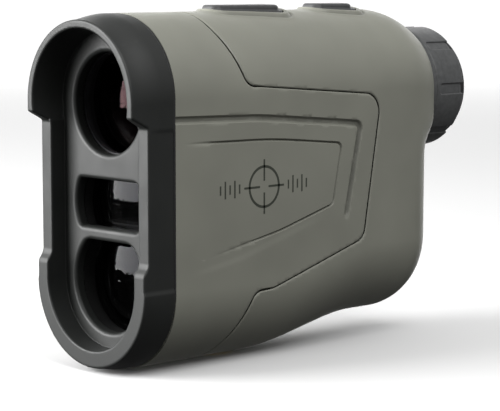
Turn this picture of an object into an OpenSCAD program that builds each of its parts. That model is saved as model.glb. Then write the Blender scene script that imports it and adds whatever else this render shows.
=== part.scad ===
// Handheld laser rangefinder: a stadium-shaped monocular with a sighting
// channel on top, a laser emitter in the middle and a receiver below.
// +Z is up, the windows face -Y and the eyepiece faces +Y.  The origin is the
// bottom centre of the whole instrument.  Inside the modules y is counted
// from the foremost edge of the hood; seat() moves it to the origin.

/* [Body] */
// Overall length, hood to eyecup
length = 110; // [108:1:114]
// Half of the body's width, which is also the radius of its round top
body_r = 18.1; // [17.8:0.1:18.4]
// Height of the centre of the round top
top_z = 59; // [58.8:0.1:59.4]
// How far the rear part of the belly is raised
belly_rise = 5.2; // [4:0.1:6]
// Wall of the two housings
wall = 1.9; // [1.7:0.1:2]
// Place of the flat rear face, counted from the hood
rear_y = 96.6; // [96.4:0.1:96.8]
// Rounding of the upright rear corners
rear_round = 11; // [9:0.5:11.5]
// Radius of the round shoulder that carries the eyepiece
shoulder_r = 14.9; // [14.8:0.1:15.4]

/* [Front bezel] */
// Place of the front edge of the bezel's straight sides
rim_y = 4.1; // [3.5:0.1:4.5]
// Place of the bezel's rear face
bezel_rear_y = 11.2; // [11:0.1:11.3]
// Place of the front face of the window plate
plate_y = 7.9; // [7.4:0.1:8.2]
// Thickness of the window plate
plate_t = 2.5; // [2:0.1:2.6]
// Half width of the recess in front of the window plate
recess_r = 14.5; // [14:0.1:15]
// Radius of the recess under the hood
hood_recess_r = 15.9; // [15.5:0.1:16.2]

/* [Optics] */
// Height of the sighting axis
sight_z = 57.8; // [57.6:0.1:58]
// Radius of the sighting window
sight_r = 11.1; // [10.5:0.1:11.3]
// Height of the emitter axis
emit_z = 36; // [35.8:0.1:36.2]
// Radius of the emitter window's round sides
emit_r = 10.9; // [10.5:0.1:11]
// Half height of the emitter window
emit_half = 5.3; // [5:0.1:5.4]
// Height of the receiver axis
recv_z = 19.3; // [19.1:0.1:19.5]
// Radius of the receiver window
recv_r = 11.3; // [11:0.1:11.5]
// Height at which the receiver window is cut off
recv_top_z = 27.9; // [27.5:0.1:28]

/* [Eyepiece] */
// Radius of the dioptre ring
ring_r = 14.6; // [14.2:0.1:14.8]
// Place of the dioptre ring's rear face
ring_end_y = 107.9; // [107.6:0.1:108]
// Number of finger notches round the dioptre ring
notch_count = 8; // [6:1:10]
// Width of a finger notch
notch_w = 2.4; // [2:0.1:3]
// Depth of a finger notch
notch_d = 0.85; // [0.5:0.05:1]
// Radial clearance of the turning and sliding fits
run_gap = 0.05; // [0.03:0.01:0.08]

/* [Buttons] */
// Height of the button tops
button_top_z = 78.5; // [78.3:0.1:78.7]
// Height of the raised lips round the buttons
lip_z = 77.6; // [77.4:0.1:77.7]
// Gap between a button and its opening
button_gap = 0.3; // [0.2:0.05:0.4]

/* [Mounts] */
// Place of the tripod socket, counted from the hood
tripod_y = 38; // [37:0.5:39]
// Wall radius of the tripod socket's thread hole
tripod_r = 2.55; // [2.5:0.01:2.6]
// Radius of the lanyard bar
lanyard_r = 1; // [0.8:0.1:1.1]

/* [Hidden] */
$fn = 96;

// Body stations and heights
body_y = bezel_rear_y + 0.4;          // front face of the housings, behind the seal
front_low_z = body_r;                 // centre of the round belly at the front
rear_low_z = body_r + belly_rise;     // centre of the round belly at the rear
belly_bend = [42, 78];                // where the belly starts and stops rising
dome_y = 82;                          // where the top starts to drop to the shoulder
dome_power = 2.5;                     // how late the top drops
plate_back_y = plate_y + plate_t;

// Bezel: centres and radii of its round ends, the ends of the hood and the lower lip
bezel_r = 18.1;
bezel_low_z = 18.7;
bezel_top_z = 58.8;
hood_r = 17.7;
hood_z = 58.3;
hood_recess_z = sight_z + 0.4;
hood_end_z = [55.7, 53.6];            // at the front and at the rim
lip_y = rim_y - 1.4;
lip_r = 18.3;
lip_low_z = 19.3;
lip_end_z = [22.9, 24.6];
seal_inset = 0.1;
spigot_y = 2.4;
spigot_gap = 0.2;
spigot_wall = 2;

// Parting line of the two housings in the side view, and its corner radii
seam_line = [
    [28, 90], [28.3, 73.5], [32.6, 61.4], [74.9, 57.8],
    [69.2, 24.9], [40.5, 16.4], [35, 16.2], [28.6, 1.5], [28.4, -10]
];
seam_round = [0, 8, 3, 4.5, 3.5, 8, 3, 6, 0];

// Lens carrier
chassis_y = [plate_back_y + 0.2, 14, 17];   // front, flange, rear
cell_r = 12.9;
objective_r = sight_r + 0.65;
laser_lens_y = 10.9;
laser_board_half = 11;
laser_board_y = [50.05, 51.2];
prism_half = 8;
chassis_half = [13.8, 15.9];                // front part and flange
chassis_screw_at = [[12.6, 45.2], [13, 29.3]];
recv_sunk = 1;                              // the receiver's seat reaches into the flange
chassis_screw_depth = 1.5;                  // in the window plate
chassis_head_t = 1.4;
housing_screw_at = [[8, 70.8], [8, 6.3]];
housing_screw_y = [20.4, 22, 33.5];         // head, start and tip of the shank
housing_boss_y = [22, 34.2];
screw_head_r = 1.7;
screw_r = 0.95;
screw_socket = [0.6, 0.8];                  // radius and depth of the drive
boss_r = 2.2;
lip_w = 1.9;
lip_base_z = 66;
outside = 90;                               // a length beyond the whole instrument

// Eyepiece
sleeve_r = 12.95;
sleeve_bore_r = 11.4;
sleeve_wall = 1.5;                          // of the boss round the sleeve
sleeve_flange = [1, 1.8];                   // height and thickness
sleeve_y = [88, 105.5];
sleeve_seat_y = rear_y - 5.5;               // front of the boss that holds the sleeve
ring_y = rear_y + 0.3;
ring_lip_y = 105.7;
ring_mouth_r = 10.6;
cell_y = [89.5, 103.5];
cell_bore_r = 10.3;
cell_stop = 0.8;                            // thickness of the rim that the lenses rest on
o_ring_y = 101;
o_ring_w = 0.4;                             // radius of its section
o_ring_groove = [0.5, 0.85];                // half width and depth
eye_rim_r = 9.4;                            // clear radius inside the cell
lens_edge = 0.05;                           // gap round a lens in its cell
field_lens_y = 90.4;
eye_lens_y = 98.4;
spacer_y = [93.5, 98.3];
retainer_y = [102.5, 103.4];

// Buttons: place of the front end, length, half widths in front and behind
power_shape = [36.9, 19.4, 3.2, 5.8];
mode_shape = [68.7, 11.9, 3.2, 5.4];
flange_z = [72.3, 73.2];
flange_w = 0.9;
cap_step = 0.9;                             // how far the raised top stands in from the cap's edge
stem_z = 70.7;
stem_r = 1.6;
plunger_r = 1.1;
switch_z = [68.6, 70.1];
board_z = [67.6, 68.6];

// Charging port in the rear face
port_z = 30;
port_half = [6.5, 4.8];
hinge_at = [-6, rear_y - 1.1];
hinge_r = 1.05;
port_pin_r = 0.5;

port_pin_half = 5.9;
port_boss = [8.5, 4.1, 6.5];                // half width, depth and half height
port_recess = [1.5, 2.3, 0.2];              // past the hinge, depth, gap round the cover
socket_hole = [4.7, 6, 1.9];                // half width, depth and half height
cover_t = 1.2;
cover_plug = [3.9, 2.5, 1.1];               // half width, depth and half height

lanyard_at = [-15.4, 82, 20];
lanyard_pocket = [6.5, 7, 7];
lanyard_corner = [3.3, 3.5, 3.5];           // from the pocket's low corner to the bar
lanyard_boss = [5, 5.3, 5.3];
lanyard_half = 4.5;
insert_r = 4.5;
insert_wall = 1.7;
insert_floor = 1.2;                         // closed end of the thread hole
insert_rim = 0.7;                           // wider mouth in front of the insert
insert_z = [0.75, 8.5];
press_gap = 0.02;                           // between a pressed pin and its hole
past = 1;                                   // how far a cut runs past the face that it opens

main_board_x = -11.4;                       // face that carries the chips

SAGE = [0.44, 0.44, 0.39];
DARK = [0.2, 0.21, 0.2];
BLACK = [0.08, 0.08, 0.08];
FILM = [0.75, 0.45, 0.15];
WRAP = [0.3, 0.4, 0.55];
GLASS = [0.55, 0.7, 0.75, 0.5];
STEEL = [0.7, 0.7, 0.72];
BRASS = [0.78, 0.63, 0.3];
BOARD = [0.1, 0.35, 0.2];

// ---------------------------------------------------------------- helpers

// Moves the instrument so that the middle of its length is at y = 0
module seat() {
    translate([0, -length / 2, 0]) children();
}

// Extrudes an x-z drawing from y0 to y1
module along_y(y0, y1) {
    translate([0, y1, 0]) rotate([90, 0, 0]) linear_extrude(y1 - y0) children();
}

// Extrudes a y-z drawing from x0 to x1
module along_x(x0, x1) {
    translate([x0, 0, 0]) rotate([90, 0, 90]) linear_extrude(x1 - x0) children();
}

// Extrudes an x-y drawing from z0 to z1
module along_z(z0, z1) {
    translate([0, 0, z0]) linear_extrude(z1 - z0) children();
}

// Turns a [radius, y] drawing about the line x = 0 at height z
module turned(z) {
    translate([0, 0, z]) rotate([-90, 0, 0]) rotate_extrude() children();
}

// A disc or a tube about the line x = 0 at height z
module barrel(z, y0, y1, r_out, r_in = 0) {
    translate([0, y0, z]) rotate([-90, 0, 0]) difference() {
        cylinder(h = y1 - y0, r = r_out);
        if (r_in > 0) translate([0, 0, -1]) cylinder(h = y1 - y0 + 2, r = r_in);
    }
}

// A box between two corners
module block(low, high) {
    translate(low) cube(high - low);
}

// Both sides of the instrument
module both_sides() {
    children();
    mirror([1, 0, 0]) children();
}

// Upright stadium in the x-z plane with round ends centred at z0 and z1
module stadium(r, z0, z1) {
    translate([0, z0]) circle(r);
    translate([0, z1]) circle(r);
    translate([-r, z0]) square([2 * r, z1 - z0]);
}

// A circle of radius r at height z, kept between two heights
module clipped_circle(r, z, low, high) {
    intersection() {
        translate([0, z]) circle(r);
        translate([-r - 1, low]) square([2 * r + 2, high - low]);
    }
}

// Outline with each corner rounded by its own radius
function corner_arc(a, b, c, r, steps = 6) =
    r == 0 ? [b] :
    let (u = (a - b) / norm(a - b), v = (c - b) / norm(c - b),
         half = acos(u * v) / 2, run = r / tan(half),
         mid = b + (u + v) / norm(u + v) * r / sin(half),
         p = b + u * run - mid, q = b + v * run - mid,
         turn = atan2(p.x * q.y - p.y * q.x, p * q))
    [for (i = [0:steps]) let (t = turn * i / steps)
        mid + [p.x * cos(t) - p.y * sin(t), p.x * sin(t) + p.y * cos(t)]];

function rounded(points, radii) =
    let (n = len(points))
    [for (i = [0:n - 1])
        for (p = corner_arc(points[(i + n - 1) % n], points[i], points[(i + 1) % n], radii[i])) p];

function ease(t) = t * t * (3 - 2 * t);

// ---------------------------------------------------------------- body form

// Half width of the plan, rounded at the rear corners; t is the inset
function plan_points(t) =
    let (r = rear_round - t, w = body_r - t, end = rear_y - t)
    [for (i = [0:10]) [w - r + r * cos(9 * i), end - r + r * sin(9 * i)]];

// Radius of the round top, dropping to the eyepiece shoulder
function dome_points(t) =
    let (end = rear_y - t)
    [for (i = [0:8]) [
        body_r - t - (body_r - shoulder_r) * pow(i / 8, dome_power), dome_y + (end - dome_y) * i / 8]];

// Radius of the round belly, rising behind the grip
function belly_points(t) =
    [for (i = [0:8]) [
        body_r - t - belly_rise * ease(i / 8),
        belly_bend[0] + (belly_bend[1] - belly_bend[0]) * i / 8]];

// Closes a list of [radius, y] points into a half profile that starts at y0
function half_profile(points, y0) =
    concat([[0, y0], [points[0].x, y0]], points, [[0, points[len(points) - 1].y]]);

// The same list drawn to both sides of the middle plane
function full_profile(points, y0) =
    let (side = concat([[points[0].x, y0]], points), n = len(side))
    concat(side, [for (i = [n - 1:-1:0]) [-side[i].x, side[i].y]]);

// The body's outside (t = 0) or its cavity (t = wall)
module body_form(t, y0) {
    turned(top_z) polygon(half_profile(dome_points(t), y0));
    along_z(rear_low_z, top_z) polygon(full_profile(plan_points(t), y0));
    turned(rear_low_z) polygon(half_profile(plan_points(t), y0));
    turned(front_low_z) polygon(half_profile(belly_points(t), y0));
    along_z(front_low_z, rear_low_z) polygon(full_profile(belly_points(t), y0));
}

// Button outline grown by d
module button_outline(shape, d = 0) {
    w0 = shape[2] + d;
    w1 = shape[3] + d;
    y0 = shape[0] - d;
    y1 = shape[0] + shape[1] + d;
    round_r = 2.4 + d;
    polygon(rounded([[-w0, y0], [w0, y0], [w1, y1], [-w1, y1]],
                    [round_r, round_r, round_r, round_r]));
}

module screw_bosses() {
    both_sides() for (p = housing_screw_at)
        translate([p.x, 0, 0]) barrel(p.y, housing_boss_y[0], housing_boss_y[1], boss_r);
}

module screw_holes() {
    both_sides() for (p = housing_screw_at)
        translate([p.x, 0, 0])
            barrel(p.y, housing_screw_y[0], housing_screw_y[2] + 0.5, screw_r + run_gap);
}

// Thickened places round the sleeve, the tripod socket, the port and the lanyard pocket
module rear_bosses() {
    barrel(sight_z, sleeve_seat_y, rear_y, sleeve_r + sleeve_wall);
    translate([0, tripod_y, insert_z[0]])
        cylinder(h = insert_z[1] - insert_z[0], r = insert_r + insert_wall);
    block([-port_boss.x, rear_y - port_boss.y, port_z - port_boss.z],
          [port_boss.x, rear_y, port_z + port_boss.z]);
    block(lanyard_at - lanyard_boss, lanyard_at + lanyard_boss);
}

// A round bar on the axis of the port cover's hinge
module port_axis(half, r) {
    translate([hinge_at.x, hinge_at.y, port_z - half]) cylinder(h = 2 * half, r = r);
}

module rear_cuts() {
    for (shape = [power_shape, mode_shape])
        along_z(sight_z, lip_z + past) button_outline(shape, button_gap);
    barrel(sight_z, sleeve_seat_y - sleeve_wall, rear_y + past, sleeve_r + run_gap);
    translate([0, tripod_y, -past]) cylinder(h = insert_z[0] + past, r = insert_r + insert_rim);
    translate([0, tripod_y, 0]) cylinder(h = insert_z[1] + past, r = insert_r + run_gap);
    // charging port: flap recess, hinge pin hole and socket opening
    block([hinge_at.x - port_recess.x, rear_y - port_recess.y, port_z - port_half.y - port_recess.z],
          [port_half.x + port_recess.z, rear_y + past, port_z + port_half.y + port_recess.z]);
    port_axis(port_pin_half + press_gap, port_pin_r + press_gap);
    block([-socket_hole.x, rear_y - socket_hole.y, port_z - socket_hole.z],
          [socket_hole.x, rear_y, port_z + socket_hole.z]);
    // lanyard pocket with the bar's hole
    translate(lanyard_at - lanyard_corner) cube(lanyard_pocket);
    translate(lanyard_at - [0, 0, lanyard_half + press_gap])
        cylinder(h = 2 * (lanyard_half + press_gap), r = lanyard_r + press_gap);
}

// Raised lips round the buttons
module lips() {
    for (shape = [power_shape, mode_shape])
        along_z(lip_base_z, lip_z) button_outline(shape, lip_w);
}

// Everything in front of the parting line
module front_region() {
    along_x(-outside, outside)
        polygon(concat([[-5, -10], [-5, outside]], rounded(seam_line, seam_round)));
}

module front_housing() {
    color(SAGE) seat() intersection() {
        difference() {
            union() {
                difference() {
                    body_form(0, body_y);
                    body_form(wall, body_y - past);
                }
                intersection() {
                    body_form(0, body_y);
                    screw_bosses();
                }
            }
            screw_holes();
        }
        front_region();
    }
}

module rear_housing() {
    color(SAGE) seat() difference() {
        union() {
            difference() {
                union() {
                    body_form(0, body_y);
                    lips();
                }
                body_form(wall, body_y - past);
            }
            intersection() {
                body_form(0, body_y);
                union() {
                    screw_bosses();
                    rear_bosses();
                }
            }
        }
        screw_holes();
        rear_cuts();
        front_region();
    }
}

// ---------------------------------------------------------------- front end

module front_bezel() {
    slant = (hood_end_z.x - hood_end_z.y) / rim_y;
    hood_cut = [[-past, 0], [-past, hood_end_z.x + slant * past], [rim_y, hood_end_z.y], [rim_y, 0]];
    lip_cut = [[0, outside], [0, lip_end_z.x], [lip_y, lip_end_z.x],
               [rim_y, lip_end_z.y], [rim_y, outside]];
    color(DARK) seat() {
        difference() {
            union() {
                along_y(rim_y, bezel_rear_y) stadium(bezel_r, bezel_low_z, bezel_top_z);
                // hood, a little slimmer than the rest
                difference() {
                    along_y(0, rim_y) stadium(hood_r, bezel_low_z, hood_z);
                    along_x(-outside, outside) polygon(hood_cut);
                }
                // lower lip
                difference() {
                    along_y(lip_y, rim_y) stadium(lip_r, lip_low_z, top_z);
                    along_x(-outside, outside) polygon(lip_cut);
                }
                // spigot that enters the housings
                along_y(bezel_rear_y, bezel_rear_y + spigot_y)
                    stadium(body_r - wall - spigot_gap, bezel_low_z, top_z);
            }
            // recess in front of the window plate
            along_y(-past, plate_y) {
                stadium(recess_r, lip_low_z, sight_z);
                clipped_circle(hood_recess_r, hood_recess_z, hood_end_z.y, outside);
            }
            // room for the lens carrier behind the plate
            along_y(plate_back_y, bezel_rear_y + spigot_y + past)
                stadium(body_r - wall - spigot_gap - spigot_wall, bezel_low_z, top_z);
            // windows
            barrel(sight_z, 0, plate_back_y + past, sight_r);
            along_y(0, plate_back_y + past)
                clipped_circle(emit_r, emit_z, emit_z - emit_half, emit_z + emit_half);
            along_y(0, plate_back_y + past) clipped_circle(recv_r, recv_z, 0, recv_top_z);
            both_sides() for (p = chassis_screw_at) translate([p.x, 0, 0])
                barrel(p.y, plate_back_y - chassis_screw_depth - spigot_gap, plate_back_y + past, screw_r);
        }
    }
}

module bezel_seal() {
    color(BLACK) seat() along_y(bezel_rear_y, body_y) difference() {
        stadium(body_r - seal_inset, bezel_low_z, top_z - seal_inset);
        stadium(body_r - wall, bezel_low_z, top_z);
    }
}

module optics_chassis() {
    y = chassis_y;
    seat_gap = [0.2, 0.4];      // round the emitter lens and the receiver lens
    half = [5.6, 4.6];          // half height of the emitter's seat and of its way through
    shelf = 1;                  // how far the seats' shelves reach in
    color(BLACK) seat() difference() {
        union() {
            along_y(y[0], y[1]) stadium(chassis_half[0], bezel_low_z, top_z);
            along_y(y[1], y[2]) stadium(chassis_half[1], bezel_low_z, top_z);
        }
        barrel(sight_z, y[0] - past, y[2] + past, cell_r + run_gap);
        along_y(y[0] - past, y[1])
            clipped_circle(emit_r + seat_gap[0], emit_z, emit_z - half[0], emit_z + half[0]);
        along_y(y[1] - past, y[2] + past)
            clipped_circle(emit_r - shelf, emit_z, emit_z - half[1], emit_z + half[1]);
        along_y(y[0] - past, y[1] + recv_sunk)
            clipped_circle(recv_r + seat_gap[1], recv_z, 0, recv_top_z + 0.5);
        along_y(y[1], y[2] + past) clipped_circle(recv_r - shelf, recv_z, 0, recv_top_z - 0.8);
        both_sides() for (p = chassis_screw_at)
            translate([p.x, 0, 0]) barrel(p.y, y[0] - past, y[2] + past, screw_r);
    }
}

// A screw along y with a round head behind it or in front of it
module screw(x, z, head, shank, head_r, shank_r) {
    translate([x, 0, 0]) {
        barrel(z, head[0], head[1], head_r);
        barrel(z, shank[0], shank[1], shank_r);
    }
}

module chassis_screws() {
    back = chassis_y[2];
    color(STEEL) seat() both_sides() for (p = chassis_screw_at)
        difference() {
            screw(p.x, p.y, [back, back + chassis_head_t], [plate_back_y - chassis_screw_depth, back],
                  screw_head_r, screw_r - run_gap);
            translate([p.x, 0, 0])
                barrel(p.y, back + chassis_head_t / 2, back + chassis_head_t + past, screw_socket[0]);
        }
}

module housing_screws() {
    y = housing_screw_y;
    color(STEEL) seat() both_sides() for (p = housing_screw_at)
        difference() {
            screw(p.x, p.y, [y[0], y[1]], [y[1], y[2]], screw_head_r, screw_r);
            translate([p.x, 0, 0]) barrel(p.y, y[0] - past, y[0] + screw_socket[1], screw_socket[0]);
        }
}

// ---------------------------------------------------------------- sighting channel

// Sagitta of a face of radius r1 at the distance a from the axis
function sag(r1, a) = r1 - sqrt(r1 * r1 - a * a);

// Lens with two round faces: centre thickness t, edge radius r, face radii r1, r2
module lens(z, y0, t, r, r1, r2) {
    steps = 10;
    turned(z) polygon(concat(
        [for (i = [0:steps]) let (a = r * i / steps) [a, y0 + sag(r1, a)]],
        [for (i = [steps:-1:0]) let (a = r * i / steps) [a, y0 + t - sag(r2, a)]]));
}

module objective_cell() {
    shoulder_y = [17.2, 19];    // the ring that the lens rests on
    end_y = 27;
    color(BLACK) seat() difference() {
        barrel(sight_z, chassis_y[0] + 0.1, end_y, cell_r, sight_r - 0.3);
        barrel(sight_z, chassis_y[0], shoulder_y[0], sight_r + 0.7);
        barrel(sight_z, shoulder_y[1], end_y + past, sight_r + 0.4);
    }
}

module objective_lens() {
    front_y = 12.2;
    thick = 4.8;
    color(GLASS) seat() lens(sight_z, front_y, thick, objective_r, 42, 60);
}

module objective_retainer() {
    y = [10.8, 12];
    color(BLACK) seat() barrel(sight_z, y[0], y[1], objective_r, sight_r - 0.2);
}

module prism_holder() {
    low = [-11, 41, 46.8];
    high = [11, 73, 67.4];
    wall_t = [2, 2, 1.2];
    way_r = 7;
    color(BLACK) seat() difference() {
        block(low, high);
        block(low + wall_t, high + [-wall_t.x, -wall_t.y, wall_t.z]);
        barrel(sight_z, low.y - past, high.y + past, way_r);
    }
}

// Half-pentaprism, then the roof prism behind a thin slanted air gap
module relay_prism() {
    side_view = [[43.5, 49], [43.5, 66.4], [51, 66.4], [57, 60.4], [49.5, 49]];
    color(GLASS) seat() along_x(-prism_half, prism_half) polygon(side_view);
}

module roof_prism() {
    side_view = [[50.5, 49], [58.2, 60.7], [63.5, 66.4], [70.5, 57], [70.5, 49]];
    end_view = [[-prism_half, 48], [prism_half, 48], [prism_half, 60], [0, 67], [-prism_half, 60]];
    color(GLASS) seat() intersection() {
        along_x(-prism_half, prism_half) polygon(side_view);
        along_y(42, 72) polygon(end_view);
    }
}

module display_frame() {
    y = [78, 79, 81.4];         // front, floor of the glass's seat, rear
    half = 11.5;
    seat_half = [7.6, 6.6];
    way_r = 6;
    color(BLACK) seat() difference() {
        block([-half, y[0], sight_z - 10.5], [half, y[2], sight_z + 9]);
        block([-seat_half[0], y[1], sight_z - seat_half[1]],
              [seat_half[0], y[2] + past, sight_z + seat_half[1]]);
        barrel(sight_z, y[0] - past, y[2] + past, way_r);
    }
}

module display_glass() {
    half = [7.5, 6.5];
    y = [79.05, 80.4];
    color(GLASS) seat() block([-half[0], y[0], sight_z - half[1]], [half[0], y[1], sight_z + half[1]]);
}

// ---------------------------------------------------------------- laser channels

module emitter_lens() {
    half = 5.5;
    thick = 3.05;
    color(GLASS) seat() intersection() {
        lens(emit_z, laser_lens_y, thick, emit_r + 0.1, 34, 400);
        along_y(laser_lens_y - past, laser_lens_y + thick + past)
            clipped_circle(emit_r + past, emit_z, emit_z - half, emit_z + half);
    }
}

module emitter_tube() {
    outer = [20, 10.6];
    inner = [18, 9];
    rear = 46;
    color(BLACK) seat() along_y(chassis_y[2] + 0.1, rear) translate([0, emit_z]) difference() {
        square(outer, center = true);
        square(inner, center = true);
    }
}

module laser_diode() {
    y = [44.6, 47.2, 48.4, 50];     // can, flange, leads, board
    r = [2.3, 2.8, 0.25];
    pitch = 1.2;
    color(BRASS) seat() {
        barrel(emit_z, y[0], y[1], r[0]);
        barrel(emit_z, y[1], y[2], r[1]);
        for (x = [-pitch, 0, pitch]) translate([x, 0, 0]) barrel(emit_z, y[2], y[3], r[2]);
    }
}

module laser_board() {
    color(BOARD) seat() block([-laser_board_half, laser_board_y[0], emit_z - 5.8],
                              [laser_board_half, laser_board_y[1], emit_z + 7]);
}

module receiver_lens() {
    thick = 4.1;
    color(GLASS) seat() intersection() {
        lens(recv_z, laser_lens_y, thick, recv_r + 0.3, 26, 400);
        along_y(laser_lens_y - past, laser_lens_y + thick + past)
            clipped_circle(recv_r + past, recv_z, 0, recv_top_z + 0.4);
    }
}

module receiver_tube() {
    y = [17.1, 46];
    outer = [11.6, 4.8];
    inner = [10.8, 4];
    color(BLACK) seat() intersection() {
        turned(recv_z) polygon([[inner[0], y[0]], [outer[0], y[0]], [outer[1], y[1]], [inner[1], y[1]]]);
        along_y(y[0] - past, y[1] + past) clipped_circle(outer[0] + past, recv_z, 0, recv_top_z + 1.5);
    }
}

module receiver_sensor() {
    y = [46.2, 48.6, 49.4, 50];     // can, flange, leads, board
    r = [4.1, 4.6, 0.25];
    lead_ring = 1.8;
    color(BRASS) seat() {
        barrel(recv_z, y[0], y[1], r[0]);
        barrel(recv_z, y[1], y[2], r[1]);
        for (a = [0:90:270])
            translate([lead_ring * cos(a), 0, lead_ring * sin(a)]) barrel(recv_z, y[2], y[3], r[2]);
    }
}

module receiver_board() {
    half = 8.5;
    color(BOARD) seat() block([-laser_board_half, laser_board_y[0], recv_z - half],
                              [laser_board_half, laser_board_y[1], recv_z + half]);
}

// ---------------------------------------------------------------- eyepiece

module eyepiece_sleeve() {
    y = sleeve_y;
    color(BLACK) seat() difference() {
        union() {
            barrel(sight_z, y[0], y[1], sleeve_r, sleeve_bore_r);
            barrel(sight_z, sleeve_seat_y - sleeve_flange[1], sleeve_seat_y,
                   sleeve_r + sleeve_flange[0], sleeve_bore_r);
        }
        barrel(sight_z, o_ring_y - o_ring_groove[0], o_ring_y + o_ring_groove[0],
               sleeve_r + past, sleeve_r - o_ring_groove[1]);
    }
}

module eyepiece_o_ring() {
    color(BLACK) seat() turned(sight_z)
        translate([sleeve_r - o_ring_w - press_gap, o_ring_y]) circle(o_ring_w, $fn = 32);
}

module eyepiece_cell() {
    y = cell_y;
    color(BLACK) seat() difference() {
        barrel(sight_z, y[0], y[1], sleeve_bore_r - run_gap, eye_rim_r);
        barrel(sight_z, y[0] + cell_stop, y[1] + past, cell_bore_r);
    }
}

module field_lens() {
    color(GLASS) seat() lens(sight_z, field_lens_y, 3, cell_bore_r - lens_edge, 60, 38);
}

module eyepiece_spacer() {
    color(BLACK) seat() barrel(sight_z, spacer_y[0], spacer_y[1], cell_bore_r - lens_edge, eye_rim_r);
}

module eye_lens() {
    color(GLASS) seat() lens(sight_z, eye_lens_y, 4, cell_bore_r - lens_edge, 30, 44);
}

module eyepiece_retainer() {
    color(BLACK) seat() barrel(sight_z, retainer_y[0], retainer_y[1],
                                  cell_bore_r - lens_edge, eye_rim_r);
}

module diopter_ring() {
    collar = [0.3, 1.6];        // step in radius and width
    bevel = 0.6;
    grip_y = ring_y + 2.7;
    bore_r = sleeve_r + run_gap;
    color(DARK) seat() difference() {
        turned(sight_z) polygon([
            [bore_r, ring_y], [ring_r - collar[0], ring_y],
            [ring_r - collar[0], ring_y + collar[1]], [ring_r, ring_y + collar[1]],
            [ring_r, ring_end_y - bevel], [ring_r - bevel, ring_end_y],
            [ring_mouth_r, ring_end_y], [ring_mouth_r, ring_lip_y], [bore_r, ring_lip_y]]);
        translate([0, 0, sight_z]) for (i = [0:notch_count - 1])
            rotate([0, 360 / notch_count * i, 0])
                block([ring_r - notch_d, grip_y, -notch_w / 2],
                      [ring_r + past, ring_end_y + past, notch_w / 2]);
    }
}

module eyecup() {
    y = ring_end_y;
    tip = [11.6, 12, 12.6, 13.2];   // radii across the rounded tip
    foot = [10.7, 13.4];
    color(BLACK) seat() turned(sight_z) polygon([
        [foot[0], y], [foot[1], y], [tip[3], length - 0.7], [tip[2], length],
        [tip[1], length], [tip[0], length - 0.6]]);
}

// ---------------------------------------------------------------- buttons

module button(shape) {
    mid_y = shape[0] + shape[1] / 2;
    along_z(flange_z[1], lip_z) button_outline(shape);
    along_z(lip_z, button_top_z) button_outline(shape, -cap_step);
    along_z(flange_z[0], flange_z[1]) button_outline(shape, flange_w);
    translate([0, mid_y, stem_z]) cylinder(h = flange_z[0] - stem_z, r = stem_r);
}

module plunger(shape) {
    sunk = 0.1;                 // into the switch's hole
    translate([0, shape[0] + shape[1] / 2, switch_z[1] - sunk])
        cylinder(h = stem_z - switch_z[1] + sunk, r = plunger_r);
}

module switch(shape) {
    half = 2.6;
    floor_t = 0.6;
    translate([0, shape[0] + shape[1] / 2, 0]) difference() {
        block([-half, -half, switch_z[0]], [half, half, switch_z[1]]);
        translate([0, 0, switch_z[0] + floor_t]) cylinder(h = switch_z[1], r = plunger_r + 0.1);
    }
}

module power_button() { color(DARK) seat() button(power_shape); }
module mode_button() { color(DARK) seat() button(mode_shape); }
module power_plunger() { color(STEEL) seat() plunger(power_shape); }
module mode_plunger() { color(STEEL) seat() plunger(mode_shape); }
module power_switch() { color(BLACK) seat() switch(power_shape); }
module mode_switch() { color(BLACK) seat() switch(mode_shape); }

module button_membrane() {
    low = [-7, 34.5, 70.9];
    high = [7, 84.5, 71.5];
    color(BLACK) seat() difference() {
        block(low, high);
        for (shape = [power_shape, mode_shape]) translate([0, shape[0] + shape[1] / 2, low.z - past])
            cylinder(h = high.z - low.z + 2 * past, r = stem_r + 0.3);
    }
}

module button_board() {
    color(BOARD) seat() block([-5, 38, board_z[0]], [5, 82, board_z[1]]);
}

module flex_cable() {
    y = [60, 66];
    x = -12.2;
    z = [45.2, 68];             // foot and top
    film = 0.3;
    color(FILM) seat() along_y(y[0], y[1]) {
        translate([x, z[1]]) square([7.1, film]);
        translate([x, z[0]]) square([film, z[1] + film - z[0]]);
    }
}

// ---------------------------------------------------------------- electronics

module main_board() {
    color(BOARD) seat() block([-12.6, 54, 27], [main_board_x, 90, 45]);
}

module board_chips() {
    chips = [[58, 31, 66, 39, 1], [69, 33, 74, 38, 0.8], [77, 30, 82, 34, 1.5]];
    color(BLACK) seat() for (c = chips)
        block([main_board_x, c[0], c[1]], [main_board_x + c[4], c[2], c[3]]);
}

module battery_cell() {
    low = [-3, 55, 14];
    high = [9, 86, 40];
    corner = 2;
    color(WRAP) seat() along_x(low.x, high.x)
        polygon(rounded([[low.y, low.z], [high.y, low.z], [high.y, high.z], [low.y, high.z]],
                        [corner, corner, corner, corner]));
}

module battery_tray() {
    color(BLACK) seat() difference() {
        block([-4.6, 53.6, 12.2], [10.6, 86.3, 24]);
        block([-3.2, 54.8, 13.9], [9.2, 90, 25]);
    }
}

module charge_board() {
    half = 7.5;
    z = [-2.9, -1.7];           // below the port's middle
    color(BOARD) seat() block([-half, 86.5, port_z + z[0]], [half, 92.3, port_z + z[1]]);
}

// Flat tube section with round corners
module socket_outline(half_w, half_h, r) {
    polygon(rounded([[-half_w, -half_h], [half_w, -half_h], [half_w, half_h], [-half_w, half_h]],
                    [r, r, r, r]));
}

module charge_socket() {
    y = [86.6, 94];
    half = [4.4, 1.6];
    corner = 1.5;
    sheet = 0.3;
    color(STEEL) seat() along_y(y[0], y[1]) translate([0, port_z]) difference() {
        socket_outline(half[0], half[1], corner);
        socket_outline(half[0] - sheet, half[1] - sheet, corner - sheet);
    }
}

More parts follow.
